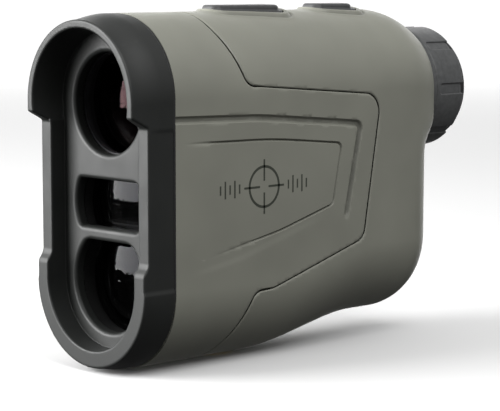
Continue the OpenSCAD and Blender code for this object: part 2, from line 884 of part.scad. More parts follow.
module port_cover() {
    color(DARK) seat() difference() {
        union() {
            block([hinge_at.x, rear_y - cover_t, port_z - port_half.y],
                  [port_half.x, rear_y, port_z + port_half.y]);
            port_axis(port_half.y, hinge_r);
            block([-cover_plug.x, rear_y - cover_plug.y, port_z - cover_plug.z],
                  [cover_plug.x, rear_y - cover_t, port_z + cover_plug.z]);
        }
        port_axis(port_half.y + past, port_pin_r + run_gap);
    }
}

module port_pin() {
    color(STEEL) seat() port_axis(port_pin_half, port_pin_r);
}

// ---------------------------------------------------------------- mounts

module tripod_insert() {
    color(BRASS) seat() translate([0, tripod_y, insert_z[0]]) difference() {
        cylinder(h = insert_z[1] - insert_z[0], r = insert_r);
        translate([0, 0, -past]) cylinder(h = insert_z[1] - insert_z[0] - insert_floor + past, r = tripod_r);
    }
}

module lanyard_bar() {
    color(STEEL) seat() translate(lanyard_at - [0, 0, lanyard_half])
        cylinder(h = 2 * lanyard_half, r = lanyard_r);
}

front_housing();
rear_housing();
front_bezel();
bezel_seal();
housing_screws();
chassis_screws();
optics_chassis();
objective_cell();
objective_lens();
objective_retainer();
emitter_lens();
emitter_tube();
laser_diode();
laser_board();
receiver_lens();
receiver_tube();
receiver_sensor();
receiver_board();
prism_holder();
relay_prism();
roof_prism();
display_frame();
display_glass();
eyepiece_sleeve();
eyepiece_o_ring();
eyepiece_cell();
field_lens();
eyepiece_spacer();
eye_lens();
eyepiece_retainer();
diopter_ring();
eyecup();
power_button();
mode_button();
power_plunger();
mode_plunger();
power_switch();
mode_switch();
button_membrane();
button_board();
flex_cable();
main_board();
board_chips();
battery_cell();
battery_tray();
charge_board();
charge_socket();
port_cover();
port_pin();
tripod_insert();
lanyard_bar();
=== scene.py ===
import math
from itertools import product

import bmesh
import bpy
import numpy as np
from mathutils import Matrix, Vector


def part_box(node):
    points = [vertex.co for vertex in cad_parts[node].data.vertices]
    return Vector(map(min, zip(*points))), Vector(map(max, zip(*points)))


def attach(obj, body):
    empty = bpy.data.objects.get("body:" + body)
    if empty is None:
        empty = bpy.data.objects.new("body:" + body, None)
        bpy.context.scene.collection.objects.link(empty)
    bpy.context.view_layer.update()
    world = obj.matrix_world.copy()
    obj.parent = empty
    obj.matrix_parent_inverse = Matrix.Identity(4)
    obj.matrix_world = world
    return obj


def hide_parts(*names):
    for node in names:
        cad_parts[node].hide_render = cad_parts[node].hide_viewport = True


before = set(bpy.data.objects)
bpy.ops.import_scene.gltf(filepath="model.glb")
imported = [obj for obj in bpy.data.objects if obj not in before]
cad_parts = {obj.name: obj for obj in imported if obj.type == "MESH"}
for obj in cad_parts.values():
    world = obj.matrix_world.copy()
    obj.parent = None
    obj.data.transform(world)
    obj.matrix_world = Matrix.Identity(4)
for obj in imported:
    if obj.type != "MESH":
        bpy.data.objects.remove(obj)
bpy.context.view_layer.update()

# ------------------------------------------------------------------ measures
# Shapes are drawn in millimetres: x across, y back from the hood's front edge, z up from the rest plane.
MM = 0.001
HOOD_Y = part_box("front_bezel")[0].y / MM


def middle(node):
    """Middle of a CAD node's box, in millimetres, with y counted from the hood."""
    low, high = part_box(node)
    x, y, z = (low + high) / 2 / MM
    return x, y - HOOD_Y, z


BODY_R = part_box("rear_housing")[1].x / MM
BODY_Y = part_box("front_housing")[0].y / MM - HOOD_Y
TOP_Z = 59.0
REAR_Y = 96.6
BELLY_RISE = 5.2
BELLY_Y = (42.0, 78.0)
DOME_Y = 82.0
REAR_ROUND = 10.8
WALL = 1.9
SIGHT_Z = middle("objective_lens")[2]
EMIT_Z = middle("emitter_lens")[2]
RECV_Z = 19.3
RING_LOW, RING_HIGH = (v.y / MM - HOOD_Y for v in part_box("diopter_ring"))
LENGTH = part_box("eyecup")[1].y / MM - HOOD_Y


def to_scene(points):
    """Millimetres in the drawing to metres in the frame."""
    return (np.asarray(points, float) + (0, HOOD_Y, 0)) * MM


# ------------------------------------------------------------------ shape helpers


def smoothstep(t):
    t = np.clip(t, 0, 1)
    return t * t * (3 - 2 * t)


def round_max(a, b, r):
    """Where two shapes overlap, with the edge between them rounded to radius r."""
    return np.minimum(-r, np.maximum(a, b)) + np.hypot(np.maximum(r + a, 0), np.maximum(r + b, 0))


def round_min(a, b, r):
    """Two shapes joined, with a fillet of radius r between them."""
    return -round_max(-a, -b, r)


def stadium(x, z, low, top, r):
    """Distance to an upright stadium whose round ends are centred at low and top."""
    return np.hypot(x, z - np.clip(z, low, top)) - r


def slab(v, low, high):
    return np.maximum(low - v, v - high)


def box_2d(u, v, half_u, half_v, r):
    """Distance to a rectangle with rounded corners."""
    a, b = np.abs(u) - half_u + r, np.abs(v) - half_v + r
    return np.hypot(np.maximum(a, 0), np.maximum(b, 0)) + np.minimum(np.maximum(a, b), 0) - r


def slope(shape, points, step=0.01):
    """Gradient of a shape's distance at each point."""
    parts = []
    for axis in range(3):
        shift = np.zeros(3)
        shift[axis] = step
        ahead, behind = (points + shift).T, (points - shift).T
        parts.append((shape(*ahead) - shape(*behind)) / (2 * step))
    return np.stack(parts, axis=1)


def settle(shape, points, rounds=4):
    """Moves points onto the surface of a shape."""
    for _ in range(rounds):
        g = slope(shape, points)
        size = np.maximum((g * g).sum(1), 0.05)
        points = points - g * (shape(*points.T) / size)[:, None]
    return points


def surface_net(shape, low, high, step):
    """Vertices and quads on the zero level of shape(x, y, z), found on a grid of cubes."""
    axes = [np.arange(a, b + step, step) for a, b in zip(low, high)]
    grid = np.meshgrid(*axes, indexing="ij", sparse=True)
    field = np.broadcast_to(shape(*grid), [len(a) for a in axes])
    inside = field < 0
    cells = tuple(n - 1 for n in inside.shape)
    corner = {c: tuple(slice(o, o + n) for o, n in zip(c, cells)) for c in product((0, 1), repeat=3)}
    filled = sum(inside[s].astype(np.int8) for s in corner.values())
    mixed = (filled > 0) & (filled < 8)
    number = np.full(cells, -1)
    number[mixed] = np.arange(mixed.sum())
    total, hits = np.zeros((mixed.sum(), 3)), np.zeros((mixed.sum(), 1))
    for a, b in product(corner, repeat=2):
        if sum(b) - sum(a) == 1 and all(q >= p for p, q in zip(a, b)):
            fa, fb = field[corner[a]][mixed], field[corner[b]][mixed]
            crossed = (fa < 0) != (fb < 0)
            share = np.where(crossed, fa / np.where(crossed, fa - fb, 1), 0)
            spot = np.array(a) + share[:, None] * (np.array(b) - np.array(a))
            total += spot * crossed[:, None]
            hits += crossed[:, None]
    base = np.argwhere(mixed)
    points = np.array([a[0] for a in axes]) + (base + total / hits) * step
    quads = []
    for axis in range(3):
        u, v = (axis + 1) % 3, (axis + 2) % 3
        near = [slice(1, -1)] * 3
        near[axis] = slice(0, -1)
        far = list(near)
        far[axis] = slice(1, None)
        start, end = inside[tuple(near)], inside[tuple(far)]
        for flip, edge in ((False, start & ~end), (True, end & ~start)):
            at = np.argwhere(edge)
            at[:, u] += 1
            at[:, v] += 1
            ring = []
            for du, dv in ((1, 1), (0, 1), (0, 0), (1, 0)):
                cell = at.copy()
                cell[:, u] -= du
                cell[:, v] -= dv
                ring.append(number[tuple(cell.T)])
            ring = np.stack(ring[::-1] if flip else ring, axis=1)
            quads.append(ring)
    quads = np.concatenate(quads)
    quads = quads[(quads >= 0).all(1)]
    return settle(shape, points), quads


def mesh_object(name, points, faces, normals=None):
    """A smooth-shaded Blender object from points in millimetres."""
    mesh = bpy.data.meshes.new(name)
    mesh.from_pydata(to_scene(points).tolist(), [], np.asarray(faces).tolist())
    mesh.shade_smooth()
    if normals is not None:
        mesh.normals_split_custom_set_from_vertices(normals.tolist())
    piece = bpy.data.objects.new(name, mesh)
    bpy.context.scene.collection.objects.link(piece)
    return piece


def moulded(name, shape, low, high, step):
    """A piece whose surface is the zero level of a shape."""
    points, quads = surface_net(shape, low, high, step)
    n = slope(shape, points)
    n /= np.maximum(np.linalg.norm(n, axis=1, keepdims=True), 1e-9)
    a, b, c = (points[quads[:, i]] for i in range(3))
    facing = (np.cross(b - a, c - a) * n[quads[:, 0]]).sum()
    if facing < 0:
        quads = quads[:, ::-1]
    return mesh_object(name, points, quads, n)


def turned(name, z, profile, steps=128):
    """A ring turned about the line x = 0 at height z, from a closed [radius, y] outline."""
    profile = np.array(profile)
    angles = np.arange(steps) * 2 * math.pi / steps
    points = [(r * math.cos(a), y, z + r * math.sin(a)) for a in angles for r, y in profile]
    n = len(profile)
    faces = [
        (i * n + k, i * n + (k + 1) % n, (i + 1) % steps * n + (k + 1) % n, (i + 1) % steps * n + k)
        for i in range(steps)
        for k in range(n)
    ]
    piece = mesh_object(name, points, faces)
    bm = bmesh.new()
    bm.from_mesh(piece.data)
    bmesh.ops.recalc_face_normals(bm, faces=bm.faces)
    bm.to_mesh(piece.data)
    bm.free()
    piece.data.set_sharp_from_angle(angle=math.radians(35))
    return piece


# ------------------------------------------------------------------ drawn lines


def rounded(points, radii, steps=8):
    """An open line with its inner corners rounded by their own radii."""
    line = [np.array(points[0], float)]
    for a, b, c, r in zip(points, points[1:], points[2:], radii):
        a, b, c = (np.array(p, float) for p in (a, b, c))
        u, v = (a - b) / np.linalg.norm(a - b), (c - b) / np.linalg.norm(c - b)
        half = math.acos(np.clip(u @ v, -1, 1)) / 2
        run = r / math.tan(half)
        centre = b + (u + v) / np.linalg.norm(u + v) * r / math.sin(half)
        p, q = b + u * run - centre, b + v * run - centre
        turn = math.atan2(p[0] * q[1] - p[1] * q[0], p @ q)
        for i in range(steps + 1):
            t = turn * i / steps
            cos, sin = math.cos(t), math.sin(t)
            line.append(centre + np.array([p[0] * cos - p[1] * sin, p[0] * sin + p[1] * cos]))
    line.append(np.array(points[-1], float))
    return np.array(line)


def line_field(line, u, v):
    """Function that gives each point's signed distance to a drawn line, and its place along it."""
    starts, runs = line[:-1], line[1:] - line[:-1]
    lengths = np.linalg.norm(runs, axis=1)
    along = np.concatenate([[0], np.cumsum(lengths)])

    def field(points):
        q = points[:, (u, v)]
        best = np.full(len(q), 1e9)
        place = np.zeros(len(q))
        for start, run, length, s0 in zip(starts, runs, lengths, along):
            if length < 1e-9:
                continue
            off = q - start
            t = np.clip(off @ run / length**2, 0, 1)
            gap = off - t[:, None] * run
            d = np.hypot(gap[:, 0], gap[:, 1])
            side = np.where(run[0] * off[:, 1] - run[1] * off[:, 0] < 0, -1, 1)
            closer = d < np.abs(best)
            best = np.where(closer, d * side, best)
            place = np.where(closer, s0 + t * length, place)
        return best, place

    field.length = along[-1]
    return field


def cut_along(bm, field, level, reach=1.6):
    """Adds edges to a mesh along the line where field has the given level."""
    bm.verts.index_update()
    spots = np.array([v.co for v in bm.verts])
    value = field(spots) - level
    near, low_side = (np.abs(value) < reach), value < 0
    edges, ends = [], []
    for e in bm.edges:
        a, b = (v.index for v in e.verts)
        if near[a] and near[b] and low_side[a] != low_side[b]:
            edges.append(e)
            ends.append((a, b))
    if not edges:
        return
    ends = np.array(ends)
    start, run = spots[ends[:, 0]], spots[ends[:, 1]] - spots[ends[:, 0]]
    before, after = np.zeros(len(edges)), np.ones(len(edges))
    for _ in range(10):
        share = (before + after) / 2
        same = (field(start + run * share[:, None]) < level) == low_side[ends[:, 0]]
        before, after = np.where(same, share, before), np.where(same, after, share)
    verts, added = list(bm.verts), []
    for e, t, (a, b) in zip(edges, (before + after) / 2, ends):
        if t < 0.03 or t > 0.97:
            added.append(verts[a if t < 0.5 else b])
        else:
            added.append(bmesh.utils.edge_split(e, verts[a], t)[1])
    bmesh.ops.connect_verts(bm, verts=list(set(added)))


def keep_where(bm, field, level):
    """Deletes the faces whose middle is below the level."""
    faces = list(bm.faces)
    value = field(np.array([f.calc_center_median() for f in faces]))
    bmesh.ops.delete(bm, geom=[f for f, v in zip(faces, value) if v < level], context="FACES")


# ------------------------------------------------------------------ housings


def body_shape(x, y, z):
    """The housings' outside: a stadium section with a domed top, a raised belly and a rounded rear."""
    low = BODY_R + BELLY_RISE * smoothstep((y - BELLY_Y[0]) / (BELLY_Y[1] - BELLY_Y[0]))
    drop = np.clip((y - DOME_Y) / (REAR_Y - DOME_Y), 0, 1.2) ** 2.5
    rear = y - REAR_Y + 0.008 * np.maximum(SIGHT_Z - z, 0)
    plain = stadium(x, z, low, TOP_Z, BODY_R)
    domed = stadium(x, z, low, TOP_Z - 1.1 * drop, BODY_R - 2.9 * drop)
    round_end = round_max(plain, rear, REAR_ROUND)
    shoulder = round_max(domed, rear, 0.8)
    return round_end + (shoulder - round_end) * smoothstep((z - 43) / 9)


# Parting line in the side view, the same as between the CAD housings
SEAM_CORNERS = [
    (28, 90), (28.3, 73.5), (32.6, 61.4), (74.9, 57.8), (69.2, 24.9),
    (40.5, 16.4), (35, 16.2), (28.6, 1.5), (28.4, -10),
]
SEAM = rounded(SEAM_CORNERS, [8, 3, 4.5, 3.5, 8, 3, 6])
# Grooves and the soft crease pressed into both side panels
WIDE_GROOVE = rounded([(11, 54.9), (36, 54.3), (67.9, 51.4), (63.2, 30.3)], [140, 1.2])
PANEL_LINE = rounded(
    [(13.5, 49.8), (40, 49.4), (61.7, 47.3), (58.9, 33.6), (42.5, 29.1), (20, 24.8)], [150, 1.2, 1.6, 60]
)
CREASE = rounded([(13, 21.2), (30, 24), (58.5, 31.9)], [60])

seam_at = line_field(SEAM, 1, 2)
groove_at = line_field(WIDE_GROOVE, 1, 2)
panel_at = line_field(PANEL_LINE, 1, 2)
crease_at = line_field(CREASE, 1, 2)

# Where the two long level runs of the parting line start and end, as places along it
LEVEL_ENDS = (((34, 61), (73, 58)), ((68, 24.6), (38, 16.3)))
LEVEL_RUNS = [[seam_at(np.array([(0, *end)]))[1][0] for end in run] for run in LEVEL_ENDS]
SEAM_GAP = (0.12, 0.2)  # half the gap along the level runs, and elsewhere
SEAM_EDGE = 0.24
GROOVE_HALF = 0.9
GROOVE_DEPTH = 0.6
PANEL_HALF = 0.36
PANEL_DEPTH = 0.55
PANEL_FADE = (14, 26)

# Each button's front end, length, and half widths in front and behind
BUTTONS = {"power_button": (36.9, 19.4, 3.2, 5.8), "mode_button": (68.7, 11.9, 3.2, 5.4)}
BUTTON_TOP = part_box("power_button")[1].z / MM
BUTTON_CORNER = 2.4
BUTTON_GAP = 0.3
LIP_EDGE = 1.5  # outer foot of the bead round a button, from the button's outline
LIP_CREASE = 1.75  # middle of the crease outside it
LIP_SWELL = 3.4  # outer foot of the low swelling under the bead

PORT_Z = middle("port_cover")[2]
HINGE = (-6.0, REAR_Y - 1.1)
LANYARD_Y, LANYARD_Z = middle("lanyard_bar")[1:]
TRIPOD_Y = middle("tripod_insert")[1]
NO_OPENING = 50.0  # distance given where an opening doesn't reach


def wedge(x, y, spot):
    """Distance to a button's outline: narrow in front, wide behind, with round corners."""
    start, length, front_half, rear_half = spot
    lean = (rear_half - front_half) / length
    side = (np.abs(x) - front_half - (y - start) * lean) / math.hypot(1, lean)
    return round_max(side, slab(y, start, start + length), BUTTON_CORNER)


def button_openings(points):
    x, y, z = points.T
    d = np.minimum(*(wedge(x, y, spot) for spot in BUTTONS.values()))
    return np.where(z > 65, d, NO_OPENING)


def port_opening(points):
    x, y, z = points.T
    d = box_2d(x + 0.35, z - PORT_Z, 7.15, 5.0, 0.8)
    return np.where(y > 92, d, NO_OPENING)


def lanyard_opening(points):
    x, y, z = points.T
    d = box_2d(y - LANYARD_Y, z - LANYARD_Z, 3.5, 3.5, 1.2)
    return np.where(x < -8, d, NO_OPENING)


def tripod_opening(points):
    x, y, z = points.T
    return np.where(z < 8, np.hypot(x, y - TRIPOD_Y) - 5.2, NO_OPENING)


def eyepiece_opening(points):
    x, y, z = points.T
    return np.where(y > 90, np.hypot(x, z - SIGHT_Z) - 13.0, NO_OPENING)


def fade(place, length, start, end):
    """1 along a line, falling to 0 over the given lengths at its ends."""
    return smoothstep(place / max(start, 1e-3)) * smoothstep((length - place) / max(end, 1e-3))


def seam_field(points):
    """Distance to the parting line, and half the gap there, which is narrow along the level runs."""
    d, place = seam_at(points)
    level = sum(fade(place - start, end - start, 3, 3) for start, end in LEVEL_RUNS)
    return d, SEAM_GAP[1] + (SEAM_GAP[0] - SEAM_GAP[1]) * level


def lip_crease(points, half):
    """1 in the middle of the crease outside the lips, on the sides of the buttons."""
    away = (button_openings(points) - LIP_CREASE) / half
    return np.exp(-(away**2)) * smoothstep((np.abs(points[:, 0]) - 3.6) / 1.6)


def relief(points):
    """How far the housings' surface stands above (+) or below (-) the plain form."""
    d, place = groove_at(points)
    depth = GROOVE_DEPTH * smoothstep((GROOVE_HALF - np.abs(d)) / (GROOVE_HALF * 0.6))
    height = -depth * fade(place, groove_at.length, 0, 0.8)
    d, place = panel_at(points)
    depth = PANEL_DEPTH * np.clip(1 - np.abs(d) / PANEL_HALF, 0, 1)
    height -= depth * fade(place, panel_at.length, *PANEL_FADE)
    d, place = crease_at(points)
    swell = 0.1 * smoothstep(0.5 - d / 1.6) * np.exp(-((d / 4) ** 2))
    height += swell * fade(place, crease_at.length, 12, 12)
    d, gap = seam_field(points)
    height -= 0.2 * np.clip(1 - (np.abs(d) - gap) / SEAM_EDGE, 0, 1) ** 2
    return height


def painted_shade_mask(points):
    """0 on the open surface, 1 at the bottom of the grooves and creases: the mask of painted shade that
    darkens the housing colour there.
    """
    d, place = groove_at(points)
    deep = smoothstep((GROOVE_HALF - np.abs(d)) / 0.35) * fade(place, groove_at.length, 0, 0.8)
    deep *= 0.55 + 0.45 * smoothstep((place - 50) / 8)
    d, place = panel_at(points)
    fine = np.clip(1 - np.abs(d) / PANEL_HALF, 0, 1) * fade(place, panel_at.length, *PANEL_FADE)
    return np.maximum(np.maximum(deep, fine), 0.8 * lip_crease(points, 0.35))


def lift_lips(points):
    """Raises the surface round the buttons into a thin bead with a crease outside it."""
    d = button_openings(points)
    bead = 0.42 * smoothstep((LIP_EDGE - d) / 0.4) - 0.12 * smoothstep((0.55 - d) / 0.3)
    swell = 0.16 * smoothstep((LIP_SWELL - d) / 1.4)
    lifted = points.copy()
    lifted[:, 2] += bead + swell - 0.3 * lip_crease(points, 0.3)
    return lifted


def shell(name, side, openings):
    """One housing: side is -1 for the one in front of the parting line and 1 for the one behind it."""
    levels_at = (
        (groove_at, (0.35, 0.55, GROOVE_HALF)),
        (panel_at, (0.01, PANEL_HALF)),
        (crease_at, (0.4, 0.8)),
    )
    points, quads = surface_net(body_shape, (-20, BODY_Y - 3, -2), (20, REAR_Y + 2, 80), 0.72)
    bm = bmesh.new()
    verts = [bm.verts.new(p) for p in points]
    for q in quads:
        bm.faces.new([verts[i] for i in q])

    def front(p):
        return p[:, 1]

    def seam(p):
        d, gap = seam_field(p)
        return side * d - gap

    cut_along(bm, front, BODY_Y)
    keep_where(bm, front, BODY_Y)
    cut_along(bm, seam, 0)
    keep_where(bm, seam, 0)
    cut_along(bm, seam, SEAM_EDGE)
    for line, levels in levels_at:
        for level in sorted({s * v for v in levels for s in (-1, 1)}):
            cut_along(bm, lambda p: line(p)[0], level)
    for opening, levels in openings:
        cut_along(bm, opening, levels[0])
        keep_where(bm, opening, levels[0])
        for level in levels[1:]:
            cut_along(bm, opening, level)
    points = settle(body_shape, np.array([v.co for v in bm.verts]))
    n = slope(body_shape, points)
    n /= np.linalg.norm(n, axis=1, keepdims=True)
    lifted = points + n * relief(points)[:, None]
    if side > 0:
        lifted = lift_lips(lifted)
    # the "hollow" values are a mask of painted shade for the housing colour in grooves and creases
    depth = bm.verts.layers.float.new("hollow")
    for v, p, hollow in zip(bm.verts, to_scene(lifted), painted_shade_mask(points)):
        v.co = p
        v[depth] = hollow
    bmesh.ops.recalc_face_normals(bm, faces=bm.faces)
    top = max(bm.faces, key=lambda f: f.calc_center_median().z)
    if top.normal.z < 0:
        bmesh.ops.reverse_faces(bm, faces=bm.faces)
    mesh = bpy.data.meshes.new(name)
    bm.to_mesh(mesh)
    bm.free()
    piece = bpy.data.objects.new(name, mesh)
    bpy.context.scene.collection.objects.link(piece)
    solid = piece.modifiers.new("wall", "SOLIDIFY")
    solid.thickness = WALL * MM
    solid.offset = -1
    apply_modifiers(piece)
    piece.data.shade_smooth()
    piece.data.set_sharp_from_angle(angle=math.radians(40))
    return piece


def apply_modifiers(piece):
    graph = bpy.context.evaluated_depsgraph_get()
    bpy.context.view_layer.update()
    mesh = bpy.data.meshes.new_from_object(piece.evaluated_get(graph))
    piece.modifiers.clear()
    piece.data = mesh


def add_to(piece, *others):
    """Joins more solids into a piece."""
    bm = bmesh.new()
    bm.from_mesh(piece.data)
    for other in others:
        bm.from_mesh(other.data)
        bpy.data.objects.remove(other)
    bm.to_mesh(piece.data)
    bm.free()


# ------------------------------------------------------------------ front bezel

RIM_Y = 4.1
LIP_Y = 2.74
PLATE_Y = 7.9
PLATE_BACK_Y = 10.4
BEZEL_BACK_Y = 11.2
HOOD_SLANT = 0.512  # fall of the hood's lower edge per millimetre towards the rear
LIP_SLANT = 1.25
SPIGOT_Z = (18.7, 58.8)


def bezel_shape(x, y, z):
    hood = smoothstep((z - 52.3) / 1.2)
    foot = smoothstep((19.6 - z) / 1.2)
    back = smoothstep(y / 8)
    half = 17.95 + 0.15 * back
    half = half + hood * (-0.28 + 0.45 * back) + foot * 0.25
    low, top = 19.3 - 0.8 * smoothstep((y - 2) / 7), 58.2 + 0.6 * back
    outside = stadium(x, z, low, top, half)
    # the rim, the hood in front of it above and the lip below, with slanted ends
    hood_end = (55.7 - z - HOOD_SLANT * y) / math.hypot(1, HOOD_SLANT)
    hood_part = round_max(-y, hood_end, 0.3)
    lip_end = (z - 22.9 - LIP_SLANT * (y - LIP_Y)) / math.hypot(1, LIP_SLANT)
    lip_part = round_max(LIP_Y - y, lip_end, 0.4)
    front = round_min(round_min(RIM_Y - y, hood_part, 0.3), lip_part, 0.5)
    outer = round_max(outside, front, 0.45)
    # recess down to the window plate, wider under the hood
    recess = stadium(x, z, 19.35, SIGHT_Z, 14.6)
    hood_recess = np.maximum(np.hypot(x, z - 58.2) - 15.9 + 0.1 * y, 53.9 - z)
    recess = np.maximum(round_min(recess, hood_recess, 0.3), y - PLATE_Y)
    body = round_max(outer, -recess, 0.4)
    # windows
    sight = np.hypot(x, z - SIGHT_Z) - 11.07
    emitter = round_max(np.hypot(x, z - EMIT_Z) - 10.9, np.abs(z - EMIT_Z) - 5.3, 0.6)
    receiver = round_max(np.hypot(x, z - RECV_Z) - 11.3, z - 27.93, 0.6)
    windows = np.minimum(np.minimum(sight, emitter), receiver)
    body = round_max(body, -windows, 0.9)
    # hollow behind the plate, and the spigot that enters the housings
    hollow = round_max(stadium(x, z, *SPIGOT_Z, 14.0), PLATE_BACK_Y - y, 0.3)
    body = np.maximum(body, -hollow)
    body = round_max(body, y - BEZEL_BACK_Y, 0.35)
    spigot_wall = np.abs(stadium(x, z, *SPIGOT_Z, 15.0)) - 0.9
    spigot = np.maximum(spigot_wall, slab(y, PLATE_BACK_Y, BEZEL_BACK_Y + 2.4))
    return np.minimum(body, spigot)


# ------------------------------------------------------------------ moving pieces

RING_R = 14.6
SLEEVE_R = 13.0
NOTCHES = 8
NOTCH_HALF = 1.2
NOTCH_DEPTH = 0.85


def ring_shape(x, y, z):
    """Focusing ring: a plain collar in front, a grip with notches, and a bore with a narrower mouth."""
    r = np.hypot(x, z - SIGHT_Z)
    angle = np.arctan2(z - SIGHT_Z, x)
    grip_y = RING_LOW + 2.7
    grip = round_max(r - RING_R, slab(y, RING_LOW + 1.5, RING_HIGH), 0.5)
    collar = round_max(r - 14.25, slab(y, RING_LOW, RING_HIGH - 1), 0.25)
    pitch = 2 * math.pi / NOTCHES
    off = (angle + pitch / 2) % pitch - pitch / 2
    across = np.abs(r * np.sin(off)) - NOTCH_HALF
    notch = round_max(round_max(across, grip_y - y, 0.5), RING_R - NOTCH_DEPTH - r, 0.3)
    body = np.minimum(round_max(grip, -notch, 0.25), collar)
    bore = np.maximum(r - SLEEVE_R, y - 105.7)
    mouth = 10.6 - r
    return np.maximum(np.maximum(body, -bore), mouth)


def button_shape(spot):
    """Shape of a button: a cap with a skirt at its foot, the flange that holds it in, and its stem."""
    middle_y = spot[0] + spot[1] / 2

    def shape(x, y, z):
        outline = wedge(x, y, spot)
        around = TOP_Z + np.sqrt(BODY_R**2 - np.minimum(np.abs(x), 9) ** 2)
        skirt = round_max(outline, z - around - 0.65, 0.3)
        crown = BUTTON_TOP - 0.12 * (x / 4) ** 2
        top = round_max(0.85 * (wedge(x, y + 0.5, spot) + 0.6), z - crown, 0.7)
        cap = round_max(round_min(skirt, top, 0.25), 73.0 - z, 0.1)
        flange = round_max(outline - 0.9, slab(z, 72.3, 73.2), 0.15)
        stem = round_max(np.hypot(x, y - middle_y) - 1.6, slab(z, 70.85, 73), 0.15)
        return np.minimum(np.minimum(cap, flange), stem)

    return shape


def port_cover_shape(x, y, z):
    """Flap with a finger dent, the hinge barrel at one side and the plug behind it."""
    hinge_r = np.hypot(x - HINGE[0], y - HINGE[1])
    tilt = y - REAR_Y + 0.008 * (SIGHT_Z - z)
    leaf = round_max(box_2d(x - 0.1, z - PORT_Z, 6.4, 4.8, 0.9), slab(tilt, -1.2, -0.02), 0.25)
    barrel = np.maximum(hinge_r - 1.05, np.abs(z - PORT_Z) - 4.8)
    plug = round_max(box_2d(x, z - PORT_Z, 3.9, 1.1, 1.0), slab(y, REAR_Y - 2.5, REAR_Y - 1), 0.15)
    pull = round_max(np.hypot((x - 4.9) / 1.0, (z - PORT_Z) / 2.6) - 0.9, -0.55 - tilt, 0.3)
    leaf = round_max(leaf, -pull, 0.2)
    pin_hole = hinge_r - 0.55
    return np.maximum(np.minimum(np.minimum(leaf, barrel), plug), -pin_hole)


def eyecup_profile():
    """Soft eye rim: a thin wall that ends in a rolled edge."""
    foot, tip = RING_HIGH, LENGTH
    middle_r, roll_r = 12.55, 0.72
    roll = [
        (middle_r + roll_r * math.cos(a), tip - roll_r + roll_r * math.sin(a))
        for a in np.linspace(-0.35, math.pi + 0.5, 16)
    ]
    return [(13.4, foot)] + roll + [(11.1, foot + 0.8), (10.7, foot)]


# ------------------------------------------------------------------ materials


class Nodes:
    """Small helper that adds nodes to a material and links them."""

    def __init__(self, name):
        self.material = bpy.data.materials.new(name)
        self.material.use_nodes = True
        self.tree = self.material.node_tree
        self.shader = self.tree.nodes["Principled BSDF"]
        self.place = self.add("ShaderNodeTexCoord").outputs["Object"]

    def add(self, kind, **settings):
        node = self.tree.nodes.new(kind)
        for key, value in settings.items():
            setattr(node, key, value)
        return node

    def link(self, source, target):
        self.tree.links.new(source, target)

    def noise(self, scale, detail=3.0, rough=0.5):
        node = self.add("ShaderNodeTexNoise")
        node.inputs["Scale"].default_value = scale
        node.inputs["Detail"].default_value = detail
        node.inputs["Roughness"].default_value = rough
        self.link(self.place, node.inputs["Vector"])
        return node.outputs["Fac"]

    def spread(self, value, low, high, from_low=0.3, from_high=0.7):
        node = self.add("ShaderNodeMapRange")
        self.link(value, node.inputs["Value"])
        node.inputs["From Min"].default_value = from_low
        node.inputs["From Max"].default_value = from_high
        node.inputs["To Min"].default_value = low
        node.inputs["To Max"].default_value = high
        return node.outputs["Result"]

    def blend_colours(self, factor, a, b):
        node = self.add("ShaderNodeMix", data_type="RGBA")
        self.link(factor, node.inputs["Factor"])
        # sockets 6 and 7 are the two colours
        for socket, colour in ((6, a), (7, b)):
            if isinstance(colour, tuple):
                node.inputs[socket].default_value = (*colour, 1)
            else:
                self.link(colour, node.inputs[socket])
        return node.outputs[2]

    def bump(self, height, strength, distance, normal=None):
        node = self.add("ShaderNodeBump")
        node.inputs["Strength"].default_value = strength
        node.inputs["Distance"].default_value = distance
        self.link(height, node.inputs["Height"])
        if normal is not None:
            self.link(normal, node.inputs["Normal"])
        return node.outputs["Normal"]

    def set(self, **values):
        for key, value in values.items():
            self.shader.inputs[key.replace("_", " ")].default_value = value


def shade(colour, factor):
    return tuple(c * factor for c in colour)


def plastic(name, colour, rough, grain, grain_depth, wear=1.5, specular=0.5, vary=0.06):
    """Moulded plastic: fine grain, slow changes of colour and gloss, edges rubbed lighter, and painted
    shade, the colour darkened where the mesh's own "hollow" values mark grooves and creases."""
    m = Nodes(name)
    slow = m.noise(55, 2)
    tone = m.blend_colours(m.spread(slow, 0, 1), shade(colour, 1 - vary), shade(colour, 1 + vary))
    edge = m.add("ShaderNodeNewGeometry").outputs["Pointiness"]
    worn = m.add("ShaderNodeMath", operation="MULTIPLY")
    m.link(m.spread(edge, 0, 1, 0.53, 0.6), worn.inputs[0])
    m.link(m.spread(m.noise(420, 4), 0, 0.8, 0.4, 0.65), worn.inputs[1])
    tone = m.blend_colours(worn.outputs[0], tone, shade(colour, wear))
    # painted shade: grooves and creases marked by the mesh's "hollow" values get a darker colour
    hollow = m.add("ShaderNodeAttribute", attribute_name="hollow").outputs["Fac"]
    # noise that varies how dark the painted shade is
    shade_variation = m.spread(m.noise(300, 3), 0.8, 1, 0.4, 0.6)
    painted_shade = m.add("ShaderNodeMath", operation="MULTIPLY")
    m.link(hollow, painted_shade.inputs[0])
    m.link(shade_variation, painted_shade.inputs[1])
    # the painted shade darkens the colour to half at most
    tone = m.blend_colours(painted_shade.outputs[0], tone, shade(colour, 0.5))
    m.link(tone, m.shader.inputs["Base Color"])
    m.link(m.spread(m.noise(160, 3), rough - 0.05, rough + 0.06), m.shader.inputs["Roughness"])
    m.link(m.bump(m.noise(grain, 2, 0.6), 0.35, grain_depth), m.shader.inputs["Normal"])
    m.set(Specular_IOR_Level=specular)
    return m.material


